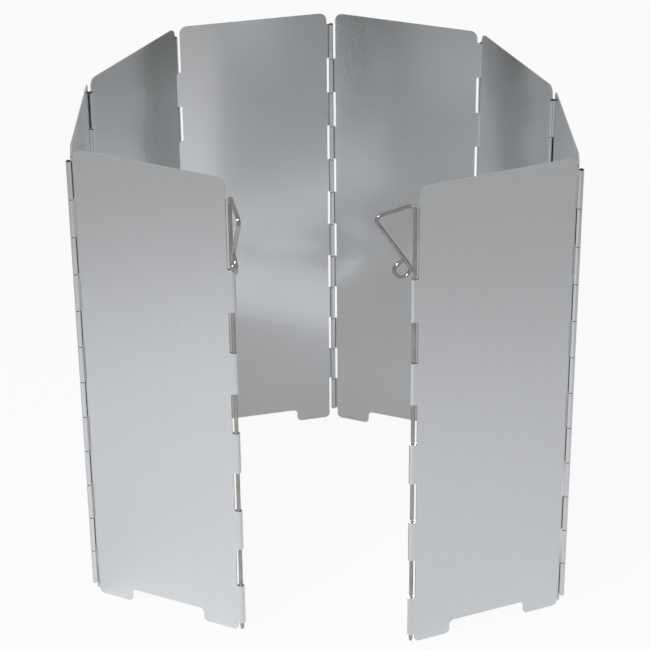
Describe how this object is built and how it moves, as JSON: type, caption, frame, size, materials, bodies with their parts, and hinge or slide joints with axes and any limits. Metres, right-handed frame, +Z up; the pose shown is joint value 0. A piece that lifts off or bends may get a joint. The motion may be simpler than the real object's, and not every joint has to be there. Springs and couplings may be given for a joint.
{
  "type": "folding stove windscreen",
  "caption": "Folding camp stove windscreen: thin aluminium plates on rolled pin hinges, standing as an open ring, with a bent-wire ground peg down each free edge.",
  "frame": {"origin": "on the ground under the middle of the set-up ring", "axes": "+Z up along the hinge pins, -Y out through the opening between the free edges, +X to the right seen from there"},
  "size_m": [0.2326, 0.2226, 0.24],
  "materials": {
    "plate_sheet": "satin rolled sheet with bright cut edges",
    "hinge_pin_wire": "drawn wire",
    "peg_wire": "bright drawn wire"
  },
  "bodies": {
    "plate_1": {"plate_1": "plate_sheet", "hinge_pin_1": "hinge_pin_wire"},
    "plate_2": {"plate_2": "plate_sheet", "hinge_pin_2": "hinge_pin_wire"},
    "plate_3": {"plate_3": "plate_sheet", "hinge_pin_3": "hinge_pin_wire"},
    "plate_4": {"plate_4": "plate_sheet", "hinge_pin_4": "hinge_pin_wire"},
    "plate_5": {"plate_5": "plate_sheet", "hinge_pin_5": "hinge_pin_wire"},
    "plate_6": {"plate_6": "plate_sheet", "hinge_pin_6": "hinge_pin_wire"},
    "plate_7": {"plate_7": "plate_sheet", "hinge_pin_7": "hinge_pin_wire"},
    "plate_8": {"plate_8": "plate_sheet"},
    "peg_left": {"ground_peg_left": "peg_wire"},
    "peg_right": {"ground_peg_right": "peg_wire"}
  },
  "joints": [
    {"name": "hinge_4", "type": "hinge", "parent": "plate_4", "child": "plate_5", "pos_m": [0.00451, 0.11009, 0.12], "axis": [0, 0, -1], "range_deg": [0, 144]},
    {"name": "hinge_3", "type": "hinge", "parent": "plate_4", "child": "plate_3", "pos_m": [-0.0749, 0.09254, 0.12], "axis": [0, 0, 1], "range_deg": [-227.4, 0]},
    {"name": "hinge_5", "type": "hinge", "parent": "plate_5", "child": "plate_6", "pos_m": [0.08065, 0.08153, 0.12], "axis": [0, 0, -1], "range_deg": [-225.7, 0]},
    {"name": "hinge_2", "type": "hinge", "parent": "plate_3", "child": "plate_2", "pos_m": [-0.11202, 0.02019, 0.12], "axis": [0, 0, 1], "range_deg": [0, 152]},
    {"name": "hinge_1", "type": "hinge", "parent": "plate_2", "child": "plate_1", "pos_m": [-0.11506, -0.06108, 0.12], "axis": [0, 0, 1], "range_deg": [-245, 0]},
    {"name": "hinge_6", "type": "hinge", "parent": "plate_6", "child": "plate_7", "pos_m": [0.10947, 0.00549, 0.12], "axis": [0, 0, -1], "range_deg": [0, 160.2]},
    {"name": "hinge_7", "type": "hinge", "parent": "plate_7", "child": "plate_8", "pos_m": [0.11506, -0.07565, 0.12], "axis": [0, 0, -1], "range_deg": [-249.5, 0]},
    {"name": "peg_left_swivel", "type": "hinge", "parent": "plate_1", "child": "peg_left", "pos_m": [-0.04134, -0.09364, 0.11], "axis": [0, 0, 1], "range_deg": [-45, 230]},
    {"name": "peg_right_swivel", "type": "hinge", "parent": "plate_8", "child": "peg_right", "pos_m": [0.03989, -0.10469, 0.11], "axis": [0, 0, -1], "range_deg": [-105, 170]}
  ],
  "couplings": [
    {"joint": "hinge_3", "follows": "hinge_4", "ratio": -1.5791},
    {"joint": "hinge_5", "follows": "hinge_4", "ratio": -1.5673},
    {"joint": "hinge_1", "follows": "hinge_2", "ratio": -1.6118},
    {"joint": "hinge_7", "follows": "hinge_6", "ratio": -1.5574}
  ]
}
